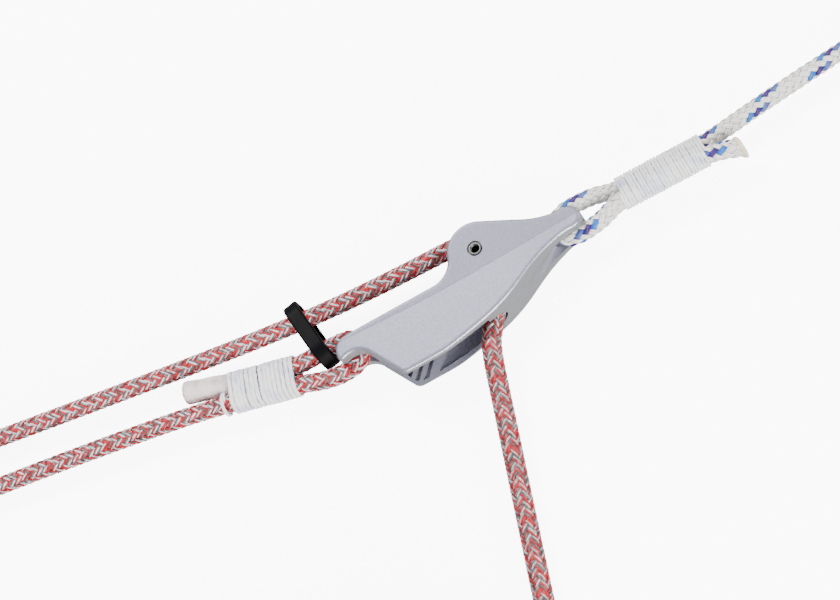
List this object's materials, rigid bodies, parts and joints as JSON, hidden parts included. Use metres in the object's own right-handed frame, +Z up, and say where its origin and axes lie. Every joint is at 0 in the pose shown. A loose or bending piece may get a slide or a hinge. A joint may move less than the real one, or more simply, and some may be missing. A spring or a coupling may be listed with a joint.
{
  "type": "in-line rope cleat adjuster",
  "caption": "Cast in-line rope cleat with a sheave, becket and eye, rove with a red fleck line and seized to a white line, for adjusting a kite, trapeze or vang line.",
  "frame": {"origin": "on the lower cheek's flat face, at the middle of the cleat body's length, on the line of the groove's spine", "axes": "+X along the cleat towards its eye, +Y towards the sheave boss (the groove opens towards -Y), +Z up, square to the cheeks"},
  "size_m": [0.3732, 0.2083, 0.0155],
  "materials": {
    "cast_body": "bead-blasted, clear anodised silver; machined lip bare",
    "wheel": "moulded black acetal",
    "rivet": "stainless steel, rolled over",
    "black_plastic": "moulded black nylon, satin",
    "ring_metal": "hard anodised, smooth",
    "red_rope": "braided polyester, red, grey and white flecks",
    "white_rope": "braided polyester, white with blue and purple flecks",
    "white_twine": "waxed whipping twine",
    "cream_tape": "cloth tape",
    "melted_end": "heat-sealed polyester, slightly yellowed"
  },
  "bodies": {
    "cleat": {"cleat_body": "cast_body", "sheave_rivet": "rivet", "red_line": "red_rope", "red_end_cover": "cream_tape", "red_seizing": "white_twine", "red_loose_turn": "white_twine"},
    "sheave_wheel": {"sheave": "wheel"},
    "keeper": {"keeper_ring": "black_plastic"},
    "tack": {"tack_ring": "ring_metal"},
    "tail": {"red_tail": "red_rope", "tail_coil": "red_rope", "tail_end": "red_rope", "tail_whipping": "white_twine", "tail_end_seal": "melted_end"},
    "white": {"white_line": "white_rope", "white_seizing": "white_twine", "head_seizing": "white_twine", "white_end_seal": "melted_end", "head_end_seal": "melted_end", "head_ring": "ring_metal"}
  },
  "joints": [
    {"name": "sheave_spin", "type": "hinge", "parent": "cleat", "child": "sheave_wheel", "pos_m": [0.0104, 0.0059, 0.00775], "axis": [0, 0, 1], "continuous": true},
    {"name": "tack_ring_turn", "type": "hinge", "parent": "cleat", "child": "tack", "pos_m": [-0.174, 0.0299, 0.0045], "axis": [0, 0, 1], "continuous": true},
    {"name": "keeper_slide", "type": "slide", "parent": "cleat", "child": "keeper", "axis": [-0.9925, 0.1219, 0], "range_m": [0, 0.0012]},
    {"name": "tail_swing", "type": "hinge", "parent": "cleat", "child": "tail", "pos_m": [0.0046, -0.0156, 0.00775], "axis": [0, 0, 1], "range_deg": [-45, 35]},
    {"name": "white_line_swing", "type": "hinge", "parent": "cleat", "child": "white", "pos_m": [0.0395, 0.0015, 0.00775], "axis": [0, 0, 1], "range_deg": [-12, 12]}
  ]
}
